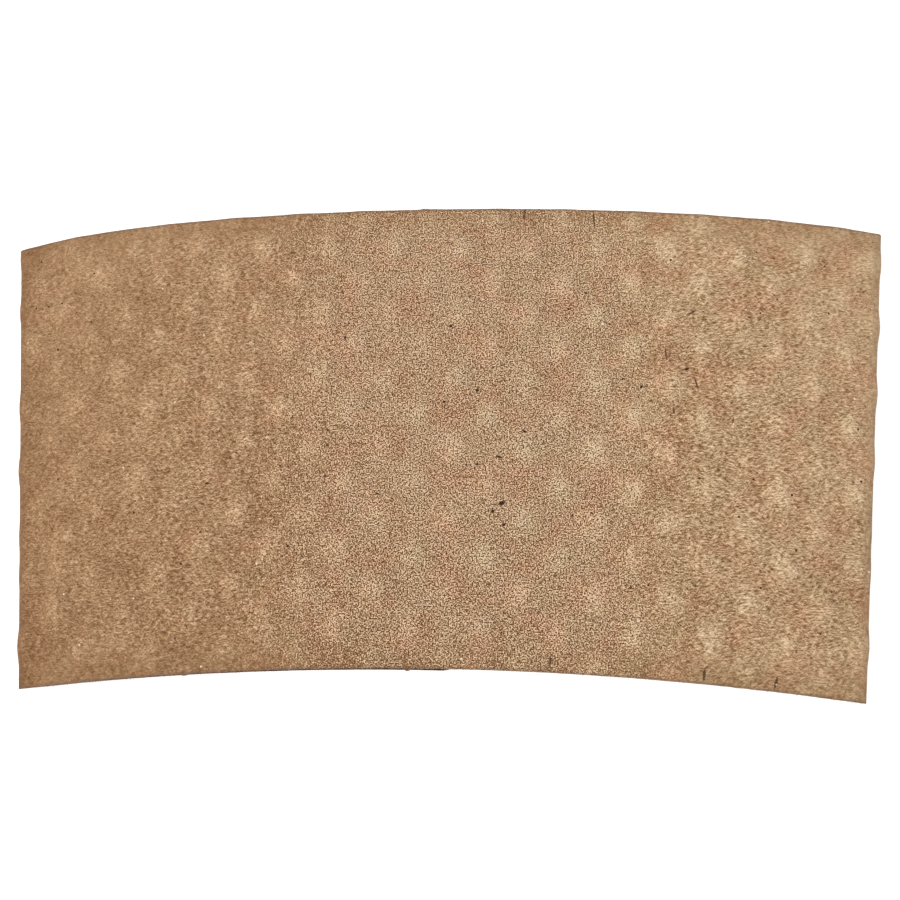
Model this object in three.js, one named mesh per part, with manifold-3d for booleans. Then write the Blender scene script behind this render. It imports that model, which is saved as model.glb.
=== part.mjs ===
// Coffee cup sleeve: one fan of embossed kraft paperboard, folded flat on two creases, with its
// two ends glued over each other at the back. It lies on that back, as it comes out of its pack.
//
// It is made the way the real one is made. A web of board is embossed all over with staggered
// dimples, the fan is die-cut out of it, the fan is scored and folded round two creases that point
// at the fan's centre, and the two ends are glued. All of it stays one piece of board.
//
// Frame: millimetres, Z up. X runs along the sleeve, from the left crease to the right one. Y runs
// from the small rim (-Y) to the large rim (+Y). The back lies on Z = 0.
import * as THREE from "three";
import { mergeVertices } from "three/addons/utils/BufferGeometryUtils.js";
import Module from "manifold-3d";

const wasm = await Module();
wasm.setup();

// Driving sizes of the sleeve, as it stands open round a cup
const LARGE_RIM_DIAMETER = 81.7;
const SMALL_RIM_DIAMETER = 71.1;
const SLANT_HEIGHT = 64.6;

// Driving sizes of the board and of its embossing
const BOARD = 0.5;
const DIMPLE_SPACING = 6.8; // from a dimple to the nearest four
const DIMPLE_WIDTH = 4.6; // across a dimple at its foot
const DIMPLE_HEIGHT = 0.45; // how far a dimple stands out, with a hollow as deep behind it
const WEB_TURN = THREE.MathUtils.degToRad(-1.8); // the rows of dimples against the fan's axis
const FIRST_DIMPLE = new THREE.Vector2(3.2, -3.1); // one dimple, from the middle of the front

// Driving sizes of the folds
const CREASE_ROOM = 0.7; // clear width between the two layers at a crease
const CREASE_STRIPS = 4; // flat strips that a crease bends over
const CREASED_SHARE = 0.6; // share of the dimples' height that is left on a crease
const CREASE_SNAP = 0.35; // share of a strip's width within which a corner moves onto its crease line
const FRONT_RISE = 2.5; // how far the front springs up between the creases
const FRONT_FLATNESS = 5.4; // power of the front's section: 2 is a parabola, more is flatter
const FRONT_LEAN = 0.27; // how much higher the front is beside the left crease than the right

// Driving sizes of the glued lap at the back
const LAP = 12;
const LAP_PAST_MIDDLE = 3.6; // how far the outer end goes past the middle of the back
const LAP_EASE = 3; // length over which the dimples fade out towards the lap
const LAP_CLIMB = 9; // length over which the inner end climbs onto the outer one
const END_CORNER = 1.8; // radius of the corners of the two ends
const OUTER_END_DROP = 0.3; // how far the outer end slips past the small rim of the front
const GLUE_FILM = 0.12;
const GLUE_MARGIN = 1.5; // bare board between the glue and the edges of the lap

// The fan: its large and small rims are arcs round one centre, where both creases point too.
const RIM_CHORD = 12; // longest straight piece of a rim, before the dimples' corners divide it
const LARGE_RADIUS = (SLANT_HEIGHT * LARGE_RIM_DIAMETER) / (LARGE_RIM_DIAMETER - SMALL_RIM_DIAMETER);
const SMALL_RADIUS = LARGE_RADIUS - SLANT_HEIGHT;
const MID_RADIUS = (LARGE_RADIUS + SMALL_RADIUS) / 2;
const PANEL = (Math.PI * LARGE_RIM_DIAMETER) / 2 / LARGE_RADIUS; // angle of one panel of the fan
const CREASE = PANEL / 2; // the creases, on both sides of the front's middle
const angleOf = (length) => length / MID_RADIUS;
const LEFT_END = -CREASE - PANEL / 2 - angleOf(LAP_PAST_MIDDLE);
const RIGHT_END = LEFT_END + 2 * PANEL + angleOf(LAP);

// The bend of a crease, measured on the middle of the board
const BEND_RADIUS = (BOARD + CREASE_ROOM) / 2;
const BEND = angleOf(Math.PI * BEND_RADIUS);

// How pressed flat the board is at a fan angle, from 0 to 1: the lap is flat in both layers.
function pressed(angle) {
  const intoLap = Math.max(LEFT_END + angleOf(LAP) - angle, angle - RIGHT_END + angleOf(LAP));
  return THREE.MathUtils.smoothstep(intoLap / angleOf(LAP_EASE), -1, 0);
}

// The height of a dimple whose tip lies at a fan angle.
function dimpleHeight(angle) {
  const fromCrease = Math.abs(Math.abs(angle) - CREASE);
  const clear = THREE.MathUtils.smoothstep(fromCrease, BEND / 2, BEND);
  return DIMPLE_HEIGHT * THREE.MathUtils.lerp(CREASED_SHARE, 1, clear) * (1 - pressed(angle));
}

// A closed mesh as a solid, and a solid as a list of points and of triangles.
function solidOf(geometry) {
  const merged = mergeVertices(geometry.deleteAttribute("normal").deleteAttribute("uv"), 1e-4);
  const vertProperties = merged.attributes.position.array;
  const triVerts = new Uint32Array(merged.index.array);
  return new wasm.Manifold(new wasm.Mesh({ numProp: 3, vertProperties, triVerts }));
}

function listsOf(solid) {
  const mesh = solid.getMesh();
  const points = [];
  for (let at = 0; at < mesh.vertProperties.length; at += mesh.numProp) {
    points.push(new THREE.Vector3().fromArray(mesh.vertProperties, at));
  }
  const triangles = [];
  for (let at = 0; at < mesh.triVerts.length; at += 3) {
    triangles.push([...mesh.triVerts.slice(at, at + 3)]);
  }
  return { points, triangles };
}

function geometryOf({ points, triangles }) {
  const geometry = new THREE.BufferGeometry().setFromPoints(points);
  geometry.setIndex(triangles.flat());
  return geometry;
}

// The fan's outline in the flat, seen from outside: X to the right, Y away from the fan's centre.
function fanOutline() {
  const centre = new THREE.Vector2(0, -MID_RADIUS);
  const at = (radius, angle) => new THREE.Vector2(0, radius - MID_RADIUS).rotateAround(centre, -angle);
  const steps = Math.ceil((RIGHT_END - LEFT_END) / angleOf(RIM_CHORD));
  const inset = angleOf(END_CORNER);
  const rim = (radius, from, to) =>
    Array.from({ length: steps + 1 }, (_, i) => at(radius, THREE.MathUtils.lerp(from, to, i / steps)));
  const corner = (radius, angle, into, along) => {
    const quarter = [0.25, 0.5, 0.75].map((share) => (share * Math.PI) / 2);
    return quarter.map((turn) =>
      at(radius + into * END_CORNER * (1 - Math.cos(turn)), angle + along * inset * (1 - Math.sin(turn))),
    );
  };
  return new THREE.Shape([
    ...rim(SMALL_RADIUS, LEFT_END + inset, RIGHT_END - inset),
    ...corner(SMALL_RADIUS, RIGHT_END, 1, -1),
    at(SMALL_RADIUS + END_CORNER, RIGHT_END),
    at(LARGE_RADIUS - END_CORNER, RIGHT_END),
    ...corner(LARGE_RADIUS, RIGHT_END, -1, -1).reverse(),
    ...rim(LARGE_RADIUS, RIGHT_END - inset, LEFT_END + inset),
    ...corner(LARGE_RADIUS, LEFT_END, -1, 1),
    at(LARGE_RADIUS - END_CORNER, LEFT_END),
    at(SMALL_RADIUS + END_CORNER, LEFT_END),
    ...corner(SMALL_RADIUS, LEFT_END, 1, 1).reverse(),
  ]);
}

// The embossed web, flat, large enough for the fan. The dimples' tips lie on a square net that
// stands on its corner. Each dimple is a tip with four points at its foot, and between the dimples
// the board is flat.
function embossedWeb(outline) {
  const half = DIMPLE_SPACING / Math.SQRT2; // half the spacing along a row, and the spacing of rows
  const foot = DIMPLE_WIDTH / 2 / half;
  const web = (i, j) => {
    const inRow = new THREE.Vector2(i * half, j * half);
    return inRow.rotateAround(new THREE.Vector2(), WEB_TURN).add(FIRST_DIMPLE);
  };

  const points = [];
  const numberOf = new Map();
  const number = ([i, j], height = 0) => {
    const key = `${i.toFixed(3)},${j.toFixed(3)}`;
    if (!numberOf.has(key)) {
      const { x, y } = web(i, j);
      numberOf.set(key, points.length);
      points.push(new THREE.Vector3(x, y, BOARD / 2 + height));
    }
    return numberOf.get(key);
  };
  const faces = [];
  const flat = (...corners) => {
    const [a, b, c, d] = corners.map((corner) => number(corner));
    faces.push([a, b, c], [a, c, d]);
  };
  const dimple = (i, j) => {
    const [right, up, left, down] = [[i + foot, j], [i, j + foot], [i - foot, j], [i, j - foot]];
    const { x, y } = web(i, j);
    const tip = number([i, j], dimpleHeight(Math.atan2(x, y + MID_RADIUS)));
    const ring = [right, up, left, down].map((corner) => number(corner));
    ring.forEach((corner, k) => faces.push([tip, corner, ring[(k + 1) % 4]]));
    flat(right, [i + 1, j + 1 - foot], [i + 1 - foot, j + 1], up);
    flat(down, [i + 1 - foot, j - 1], [i + 1, j - 1 + foot], right);
    flat(right, [i + 1, j - 1 + foot], [i + 2 - foot, j], [i + 1, j + 1 - foot]);
  };

  const box = new THREE.Box2().setFromPoints(outline.getPoints());
  const spare = 3;
  const [left, right] = [box.min.x, box.max.x].map((x) => Math.round((x - FIRST_DIMPLE.x) / half));
  const [low, high] = [box.min.y, box.max.y].map((y) => Math.round((y - FIRST_DIMPLE.y) / half));
  for (let i = left - spare; i <= right + spare; i += 1) {
    for (let j = low - spare; j <= high + spare; j += 1) {
      if ((i + j) % 2 === 0) {
        dimple(i, j);
      }
    }
  }
  return thickened(points, faces);
}

// A closed sheet from its upper skin: the lower skin lies a board's thickness under it, and a wall
// joins the two along every open edge.
function thickened(points, faces) {
  const count = points.length;
  const lower = points.map((point) => point.clone().setZ(point.z - BOARD));
  const edges = faces.flatMap(([a, b, c]) => [[a, b], [b, c], [c, a]]);
  const known = new Set(edges.map(([a, b]) => `${a},${b}`));
  const open = edges.filter(([a, b]) => !known.has(`${b},${a}`));
  const triangles = [
    ...faces,
    ...faces.map(([a, b, c]) => [c + count, b + count, a + count]),
    ...open.flatMap(([a, b]) => [[b, a, a + count], [b, a + count, b + count]]),
  ];
  return geometryOf({ points: [...points, ...lower], triangles });
}

// Scores a mesh along a line from the fan's centre, so that the board can bend on it: corners that
// lie within the snap move onto the line, and each triangle that it crosses is split there.
function scored({ points, triangles }, angle, snap) {
  const across = new THREE.Vector3(Math.cos(angle), -Math.sin(angle), 0);
  const distance = points.map((point) => point.dot(across) - MID_RADIUS * Math.sin(angle));
  points.forEach((point, i) => {
    if (Math.abs(distance[i]) < snap) {
      point.addScaledVector(across, -distance[i]);
      distance[i] = 0;
    }
  });
  const side = distance.map(Math.sign);
  const cuts = new Map();
  const cut = (a, b) => {
    const [low, high] = a < b ? [a, b] : [b, a];
    const key = `${low},${high}`;
    if (!cuts.has(key)) {
      const share = distance[low] / (distance[low] - distance[high]);
      cuts.set(key, points.length);
      points.push(points[low].clone().lerp(points[high], share));
    }
    return cuts.get(key);
  };
  const split = triangles.flatMap((triangle) => {
    const turn = [0, 1, 2].find((k) => side[triangle[k]] * side[triangle[(k + 1) % 3]] < 0);
    if (turn === undefined) {
      return [triangle];
    }
    const [a, b, c] = [0, 1, 2].map((k) => triangle[(turn + k) % 3]);
    const ab = cut(a, b);
    if (side[c] === 0) {
      return [[a, ab, c], [ab, b, c]];
    }
    if (side[c] === side[b]) {
      const ca = cut(c, a);
      return [[a, ab, ca], [ab, b, c], [ab, c, ca]];
    }
    const bc = cut(b, c);
    return [[b, bc, ab], [ab, bc, c], [ab, c, a]];
  });
  return { points, triangles: split };
}

// The section of the folded sleeve. Every straight line from the fan's centre stays straight, so
// one curve gives the whole shape: the way round at each fan angle, as a turn in the ground plane
// and a climb above it, both seen from the fan's centre.
function foldedSection() {
  const first = -CREASE + BEND / 2;
  const last = CREASE - BEND / 2;
  const climbRate = (angle) => {
    const t = angle / CREASE;
    const bulge = 1 - Math.abs(t) ** FRONT_FLATNESS;
    const fall = -FRONT_FLATNESS * Math.sign(t) * Math.abs(t) ** (FRONT_FLATNESS - 1);
    return (FRONT_RISE * (fall * (1 - FRONT_LEAN * t) - FRONT_LEAN * bulge)) / (CREASE * MID_RADIUS);
  };
  const heading = (angle, tilt) => {
    if (angle < first) {
      const share = THREE.MathUtils.clamp((first - angle) / BEND, 0, 1);
      return THREE.MathUtils.lerp(Math.asin(climbRate(first) + tilt), Math.PI, share);
    }
    if (angle > last) {
      const share = THREE.MathUtils.clamp((angle - last) / BEND, 0, 1);
      return THREE.MathUtils.lerp(Math.asin(climbRate(last) + tilt), -Math.PI, share);
    }
    return Math.asin(climbRate(angle) + tilt);
  };

  const count = 6000;
  const step = (RIGHT_END - LEFT_END) / count;
  const follow = (tilt) => {
    const turn = [0];
    const climb = [0];
    for (let i = 0; i < count; i += 1) {
      const way = heading(LEFT_END + (i + 0.5) * step, tilt);
      turn.push(turn[i] + Math.cos(way) * step);
      climb.push(climb[i] + Math.sin(way) * step);
    }
    return { turn, climb };
  };
  // Both ends lie on the ground plane, so the front takes up the rest of its lean evenly.
  const tilt = -follow(0).climb[count] / (last - first);
  const { turn, climb } = follow(tilt);
  const read = (list, angle) => {
    const at = THREE.MathUtils.clamp((angle - LEFT_END) / step, 0, count - 1e-6);
    const below = Math.floor(at);
    return THREE.MathUtils.lerp(list[below], list[below + 1], at - below);
  };
  const middle = read(turn, 0);
  return (angle) => ({
    turn: read(turn, angle) - middle,
    climb: read(climb, angle),
    heading: heading(angle, tilt),
  });
}

// Folds a point of the flat web. Its height over the web becomes its distance from the board's
// middle, outwards. The outer end is pressed down level with the dimples' tips, and the inner end
// climbs onto it.
function folded(point, section) {
  const angle = Math.atan2(point.x, point.y + MID_RADIUS);
  const intoFlap = THREE.MathUtils.clamp((-CREASE - angle) / (-CREASE - LEFT_END), 0, 1);
  const radius = Math.hypot(point.x, point.y + MID_RADIUS) - OUTER_END_DROP * intoFlap;
  const { turn, climb, heading } = section(angle);
  const intoLap = angle - RIGHT_END + angleOf(LAP);
  const climbed = THREE.MathUtils.smoothstep(intoLap / angleOf(LAP_CLIMB), -1, 0);
  const lift = climbed * (BOARD + GLUE_FILM - DIMPLE_HEIGHT);
  const outwards = point.z + (angle < 0 ? DIMPLE_HEIGHT * pressed(angle) : -lift);
  const along = new THREE.Vector3(Math.cos(turn), -Math.sin(turn), 0);
  const level = new THREE.Vector3(Math.sin(turn), Math.cos(turn), 0);
  const ray = level.multiplyScalar(Math.cos(climb)).setZ(Math.sin(climb));
  const up = along.clone().cross(ray);
  const outside = along.multiplyScalar(-Math.sin(heading)).addScaledVector(up, Math.cos(heading));
  return ray.multiplyScalar(radius).addScaledVector(outside, outwards);
}

// The film of glue inside the lap, a little deeper than the slit so that it joins both layers.
function glueFilm(section) {
  const outerEnd = section(LEFT_END).turn;
  const innerEnd = section(RIGHT_END).turn;
  const margin = angleOf(GLUE_MARGIN);
  const bite = BOARD / 4;
  const steps = 6;
  const rim = (radius, from, to) =>
    Array.from({ length: steps + 1 }, (_, i) => {
      const turn = THREE.MathUtils.lerp(from, to, i / steps);
      return new THREE.Vector2(radius * Math.sin(turn), radius * Math.cos(turn));
    });
  const outline = new THREE.Shape([
    ...rim(SMALL_RADIUS + GLUE_MARGIN, innerEnd + margin, outerEnd - margin),
    ...rim(LARGE_RADIUS - GLUE_MARGIN, outerEnd - margin, innerEnd + margin),
  ]);
  const film = new THREE.ExtrudeGeometry(outline, { depth: GLUE_FILM + 2 * bite, bevelEnabled: false });
  return film.translate(0, 0, BOARD / 2 - DIMPLE_HEIGHT - bite);
}

function sleeveGeometry() {
  const outline = fanOutline();
  const web = solidOf(embossedWeb(outline));
  const dieDepth = 4 * (BOARD + DIMPLE_HEIGHT);
  const die = new THREE.ExtrudeGeometry(outline, { depth: dieDepth, bevelEnabled: false });
  let fan = listsOf(web.intersect(solidOf(die.translate(0, 0, -dieDepth / 2))));
  const snap = (CREASE_SNAP * BEND * MID_RADIUS) / CREASE_STRIPS;
  for (let line = 0; line <= CREASE_STRIPS; line += 1) {
    const fromMiddle = BEND * (line / CREASE_STRIPS - 0.5);
    fan = scored(fan, -CREASE + fromMiddle, snap);
    fan = scored(fan, CREASE + fromMiddle, snap);
  }
  const section = foldedSection();
  const points = fan.points.map((point) => folded(point, section));
  const board = solidOf(geometryOf({ points, triangles: fan.triangles }));
  const sleeve = geometryOf(listsOf(board.add(solidOf(glueFilm(section)))));
  sleeve.computeBoundingBox();
  const middle = sleeve.boundingBox.getCenter(new THREE.Vector3());
  return sleeve.translate(-middle.x, -middle.y, -sleeve.boundingBox.min.z);
}

const kraft = new THREE.MeshStandardMaterial({ color: 0xb08e6d, roughness: 0.92, metalness: 0 });
const sleeve = new THREE.Mesh(sleeveGeometry(), kraft);
sleeve.name = "sleeve";

const coffeeCupSleeve = new THREE.Group();
coffeeCupSleeve.add(sleeve);

export default coffeeCupSleeve;
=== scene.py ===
# %% [markdown]
# # A coffee cup sleeve of dimpled kraft board
#
# The sleeve is one fan of paperboard. It was embossed with dimples, die-cut, folded flat on two
# creases and glued at the back. This lesson gives the plain solid of the model its fine surface:
# round dimples, soft folds, fibres, cut edges and the glue in the lap.

# %% Load the frame
import math

import bpy
from mathutils import Matrix, Vector


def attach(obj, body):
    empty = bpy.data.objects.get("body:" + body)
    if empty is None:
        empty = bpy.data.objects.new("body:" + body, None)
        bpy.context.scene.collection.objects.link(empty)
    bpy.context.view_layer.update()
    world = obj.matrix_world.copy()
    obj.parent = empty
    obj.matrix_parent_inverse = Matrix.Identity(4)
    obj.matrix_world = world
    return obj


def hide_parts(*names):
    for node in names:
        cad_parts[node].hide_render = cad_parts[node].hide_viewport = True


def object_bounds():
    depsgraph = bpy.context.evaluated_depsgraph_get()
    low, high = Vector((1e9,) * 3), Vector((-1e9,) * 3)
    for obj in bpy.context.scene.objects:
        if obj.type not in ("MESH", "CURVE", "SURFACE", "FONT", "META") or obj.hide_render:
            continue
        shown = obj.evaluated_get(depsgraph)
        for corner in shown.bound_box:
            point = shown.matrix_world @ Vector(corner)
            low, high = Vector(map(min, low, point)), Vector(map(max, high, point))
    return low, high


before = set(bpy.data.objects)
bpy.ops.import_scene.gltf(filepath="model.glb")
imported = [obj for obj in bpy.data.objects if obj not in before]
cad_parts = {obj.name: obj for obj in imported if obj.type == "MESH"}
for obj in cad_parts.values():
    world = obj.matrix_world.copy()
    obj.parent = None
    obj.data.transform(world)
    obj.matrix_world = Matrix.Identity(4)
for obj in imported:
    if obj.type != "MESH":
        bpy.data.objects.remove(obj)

cad_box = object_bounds()
low, high = Vector(cad_box[0]), Vector(cad_box[1])
MM = 0.001
print("solid model, mm:", [round(side / MM, 2) for side in high - low])

# %% [markdown]
# ## The fan and its folds
#
# All measures of the board come from a few sizes of the sleeve as it stands open round a cup. Both
# rims are arcs round one centre, and both creases point at that centre. A fan angle counts from
# the middle of the front, to the right, as seen from outside.

# %% Sizes of the fan
LARGE_RIM_DIAMETER = 81.7 * MM
SMALL_RIM_DIAMETER = 71.1 * MM
SLANT_HEIGHT = 64.6 * MM
BOARD = 0.5 * MM
CREASE_ROOM = 0.7 * MM
LAP = 12 * MM
LAP_PAST_MIDDLE = 3.6 * MM
END_CORNER = 1.8 * MM

large_radius = SLANT_HEIGHT * LARGE_RIM_DIAMETER / (LARGE_RIM_DIAMETER - SMALL_RIM_DIAMETER)
small_radius = large_radius - SLANT_HEIGHT
mid_radius = (large_radius + small_radius) / 2
panel = math.pi * LARGE_RIM_DIAMETER / 2 / large_radius
crease = panel / 2
lap = LAP / mid_radius
left_end = -panel - LAP_PAST_MIDDLE / mid_radius
right_end = left_end + 2 * panel + lap
bend = math.pi * (BOARD + CREASE_ROOM) / 2 / mid_radius
print("fan radii, mm:", round(small_radius / MM, 1), round(large_radius / MM, 1))

# %% [markdown]
# ## The section of the folded sleeve
#
# Board bends one way only, so every straight line from the fan's centre stays straight. One curve
# then gives the whole folded shape: where the board is at each fan angle. It could be drawn by
# hand, but the front's spring and both folds follow simple rules, so it is added up in small steps.
# The steps are kept as the points of a mesh, with what the board does there as attributes, because
# a Geometry Nodes tree can look them up.

# %% The section, in even steps of fan angle
FRONT_RISE = 2.5 * MM
FRONT_FLATNESS = 5.4
FRONT_LEAN = 0.27
LAP_EASE = 3 * MM
LAP_CLIMB = 9 * MM
GLUE_FILM = 0.12 * MM
DIMPLE_HEIGHT = 0.45 * MM
OUTER_END_DROP = 0.3 * MM
CREASED_SHARE = 0.6
STEPS = 6000
STATES = ("turn", "climb", "heading", "pressed", "lift", "drop", "creased")


def smooth(value, start, end):
    share = min(max((value - start) / (end - start), 0), 1)
    return share * share * (3 - 2 * share)


def mix(start, end, share):
    return start + (end - start) * share


def climb_rate(angle):
    """Slope of the front's section, from its rise between the creases."""
    t = angle / crease
    bulge = 1 - abs(t) ** FRONT_FLATNESS
    fall = -FRONT_FLATNESS * math.copysign(abs(t) ** (FRONT_FLATNESS - 1), t)
    slope = fall * (1 - FRONT_LEAN * t) - FRONT_LEAN * bulge
    return FRONT_RISE * slope / (crease * mid_radius)


def heading(angle, tilt):
    """Way that the section runs at a fan angle: 0 to the right, pi to the left along the back."""
    first, last = -crease + bend / 2, crease - bend / 2
    if angle < first:
        return mix(math.asin(climb_rate(first) + tilt), math.pi, min((first - angle) / bend, 1))
    if angle > last:
        return mix(math.asin(climb_rate(last) + tilt), -math.pi, min((angle - last) / bend, 1))
    return math.asin(climb_rate(angle) + tilt)


def followed(tilt):
    """Turn and climb of the section at each step, seen from the fan's centre."""
    step = (right_end - left_end) / STEPS
    turns, climbs = [0.0], [0.0]
    for i in range(STEPS):
        way = heading(left_end + (i + 0.5) * step, tilt)
        turns.append(turns[-1] + math.cos(way) * step)
        climbs.append(climbs[-1] + math.sin(way) * step)
    return turns, climbs


def section_mesh():
    """The section as loose points, one for each step, with the board's state as attributes."""
    tilt = -followed(0)[1][-1] / (2 * crease - bend)
    turns, climbs = followed(tilt)
    angles = [mix(left_end, right_end, i / STEPS) for i in range(STEPS + 1)]
    middle = turns[round(-left_end / (right_end - left_end) * STEPS)]
    states = {name: [] for name in STATES}
    for angle, turn, climb in zip(angles, turns, climbs):
        outer = (left_end + lap - angle) * mid_radius
        inner = (angle - right_end + lap) * mid_radius
        pressed = smooth(max(outer, inner), -LAP_EASE, 0)
        climbed = smooth(inner, -LAP_CLIMB, 0) * (BOARD + GLUE_FILM - DIMPLE_HEIGHT)
        past_crease = min(max((crease + angle) / (crease + left_end), 0), 1)
        states["turn"].append(turn - middle)
        states["climb"].append(climb)
        states["heading"].append(heading(angle, tilt))
        states["pressed"].append(pressed)
        states["lift"].append(DIMPLE_HEIGHT * pressed if angle < 0 else -climbed)
        states["drop"].append(OUTER_END_DROP * past_crease)
        states["creased"].append(1 - smooth(abs(abs(angle) - crease), bend / 2, bend))
    mesh = bpy.data.meshes.new("section")
    mesh.from_pydata([(angle, 0, 0) for angle in angles], [], [])
    for name, values in states.items():
        mesh.attributes.new(name, "FLOAT", "POINT").data.foreach_set("value", values)
    return mesh


def crease_heights():
    """Height of both creases over the fan's centre, in the middle of the band."""
    climbs = section_mesh().attributes["climb"].data
    step = (right_end - left_end) / STEPS
    places = [round((side * crease - left_end) / step) for side in (-1, 0, 1)]
    return [math.sin(climbs[place].value) * mid_radius for place in places]


heights = [round(height / MM, 2) for height in crease_heights()]
print("left crease, middle and right crease, mm up:", heights)

# %% [markdown]
# ## Sums in node trees
#
# Both the shapes and the finishes below are sums. In a node tree each sum is a chain of Math nodes,
# which is slow to write and hard to read. The small class below wraps a socket, so that ordinary
# Python expressions add those nodes. Every other node comes from `Tree.add`.

# %% A socket that can be calculated with


class Value:
    """A socket of a tree. Arithmetic on it adds the Math node that does it."""

    def __init__(self, tree, socket):
        self.tree = tree
        self.socket = socket

    def math(self, operation, *others):
        return self.tree.math(operation, self, *others)

    def __add__(self, other):
        return self.math("ADD", other)

    def __sub__(self, other):
        return self.math("SUBTRACT", other)

    def __rsub__(self, other):
        return self.tree.math("SUBTRACT", other, self)

    def __mul__(self, other):
        return self.math("MULTIPLY", other)

    def __truediv__(self, other):
        return self.math("DIVIDE", other)

    def __neg__(self):
        return self * -1

    __radd__ = __add__
    __rmul__ = __mul__

    def sine(self):
        return self.math("SINE")

    def cosine(self):
        return self.math("COSINE")

    def ramp(self, start, end, low=0.0, high=1.0, steps="SMOOTHSTEP"):
        """Low before start and high after end, with a soft passage between them."""
        settings = {"interpolation_type": steps, "clamp": True}
        places = {"Value": self, "From Min": start, "From Max": end, "To Min": low, "To Max": high}
        return self.tree.add("ShaderNodeMapRange", settings, places)

    def other(self, name):
        """Another output of the same node."""
        return Value(self.tree, self.socket.node.outputs[name])


class Tree:
    """A node tree. Nodes are added by type, settings, and the values or links of sockets."""

    def __init__(self, tree, sizes=None):
        self.tree = tree
        self.sizes = sizes or {}

    def add(self, kind, settings=None, sockets=None, output=0):
        node = self.tree.nodes.new(kind)
        for name, value in (settings or {}).items():
            if name == "stops":
                self.set_stops(node.color_ramp, value)
            else:
                setattr(node, name, value)
        for name, value in (sockets or {}).items():
            if isinstance(value, Value):
                self.tree.links.new(value.socket, node.inputs[name])
            else:
                node.inputs[name].default_value = value
        return Value(self, node.outputs[output]) if len(node.outputs) else node

    def set_stops(self, ramp, stops):
        while len(ramp.elements) < len(stops):
            ramp.elements.new(1.0)
        for element, (place, colour) in zip(ramp.elements, stops):
            element.position = place
            element.color = (*colour, 1)

    def math(self, operation, *values):
        return self.add("ShaderNodeMath", {"operation": operation}, dict(enumerate(values)))

    def vector(self, x, y, z=0.0):
        return self.add("ShaderNodeCombineXYZ", {}, {"X": x, "Y": y, "Z": z})

    def parts(self, vector):
        x = self.add("ShaderNodeSeparateXYZ", {}, {"Vector": vector})
        return x, x.other("Y"), x.other("Z")

    def vectors(self, operation, *vectors, output=0):
        sockets = dict(enumerate(vectors))
        return self.add("ShaderNodeVectorMath", {"operation": operation}, sockets, output)

    def scaled(self, vector, scale):
        sockets = {"Vector": vector, "Scale": scale}
        return self.add("ShaderNodeVectorMath", {"operation": "SCALE"}, sockets)


print("sockets can be added, subtracted, multiplied and divided")

# %% [markdown]
# ## Dimples, and folding a flat point
#
# The dimples' tips lie on a square net that stands on its corner. So a point of the flat web is
# turned into the net's own two directions, where every tip has whole numbers, and the distance to
# the nearest whole numbers gives the height there.
#
# Folding takes a flat point to its place on the sleeve: its fan angle picks a step of the section,
# its distance from the fan's centre stays, and its height over the web becomes its distance from
# the middle of the board. The same two helpers serve the board and its loose fibres, and the
# folding also serves the nubs and the glue.

# %% Dimples and folding as nodes
DIMPLE_SPACING = 6.8 * MM
DIMPLE_FOOT = 3.1 * MM
RIM_SLACK = 3.0 * MM
RIM_SHARE = 0.4
WEB_TURN = math.radians(-1.8)
FIRST_DIMPLE = (3.2 * MM, -3.1 * MM)
LOWEST_DIMPLE = 0.75


def net_place(x, y):
    """Where a flat point is on the net of dimples: tips have whole numbers both ways."""
    away_x, away_y = x - FIRST_DIMPLE[0], y - FIRST_DIMPLE[1]
    first, second = WEB_TURN + math.pi / 4, WEB_TURN - math.pi / 4
    along_first = away_x * math.cos(first) + away_y * math.sin(first)
    along_second = away_x * math.cos(second) + away_y * math.sin(second)
    return along_first / DIMPLE_SPACING, along_second / DIMPLE_SPACING


def tip_offset(tree, x, y, wide=1.0, tall=1.0):
    """Distance from the nearest tip, with both ways stretched if asked for, and its number."""
    first, second = net_place(x, y)
    whole_first, whole_second = first.math("ROUND"), second.math("ROUND")
    off_first, off_second = first - whole_first, second - whole_second
    across = (off_first + off_second) * (DIMPLE_SPACING * wide / math.sqrt(2))
    upward = (off_first - off_second) * (DIMPLE_SPACING * tall / math.sqrt(2))
    return (across * across + upward * upward).math("SQRT"), tree.vector(whole_first, whole_second)


def looked_up(tree, section, name, place):
    """A state of the board at a place in the section's table, between the two nearest steps."""
    field = tree.add("GeometryNodeInputNamedAttribute", {"data_type": "FLOAT"}, {"Name": name})
    below = place.math("FLOOR")
    sockets = {"Geometry": section, "Value": field}
    sample = {"data_type": "FLOAT", "domain": "POINT", "clamp": True}
    before = tree.add("GeometryNodeSampleIndex", sample, {**sockets, "Index": below})
    after = tree.add("GeometryNodeSampleIndex", sample, {**sockets, "Index": below + 1})
    return before + (after - before) * (place - below)


def fan_place(x, y):
    """Fan angle and distance from the fan's centre of a flat point."""
    from_centre = y + mid_radius
    return x.math("ARCTAN2", from_centre), (x * x + from_centre * from_centre).math("SQRT")


def flat_place(angle, radius):
    """The flat point at a fan angle and a distance from the fan's centre."""
    return radius * angle.sine(), radius * angle.cosine() - mid_radius


def own_step(x, y):
    """Step of the section that a flat point belongs to."""
    angle, _ = fan_place(x, y)
    return (angle - left_end) * (STEPS / (right_end - left_end))


def domes(tree, x, y):
    """Dimples of the bare web at a flat point, from 0 to 1 at a tip. No two are pressed alike."""
    distance, tip = tip_offset(tree, x, y)
    uneven = tree.add("ShaderNodeTexWhiteNoise", {"noise_dimensions": "2D"}, {"Vector": tip})
    full = uneven * (1 - LOWEST_DIMPLE) + LOWEST_DIMPLE
    return distance.ramp(0.0, DIMPLE_FOOT, 1.0, 0.0) * full


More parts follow.
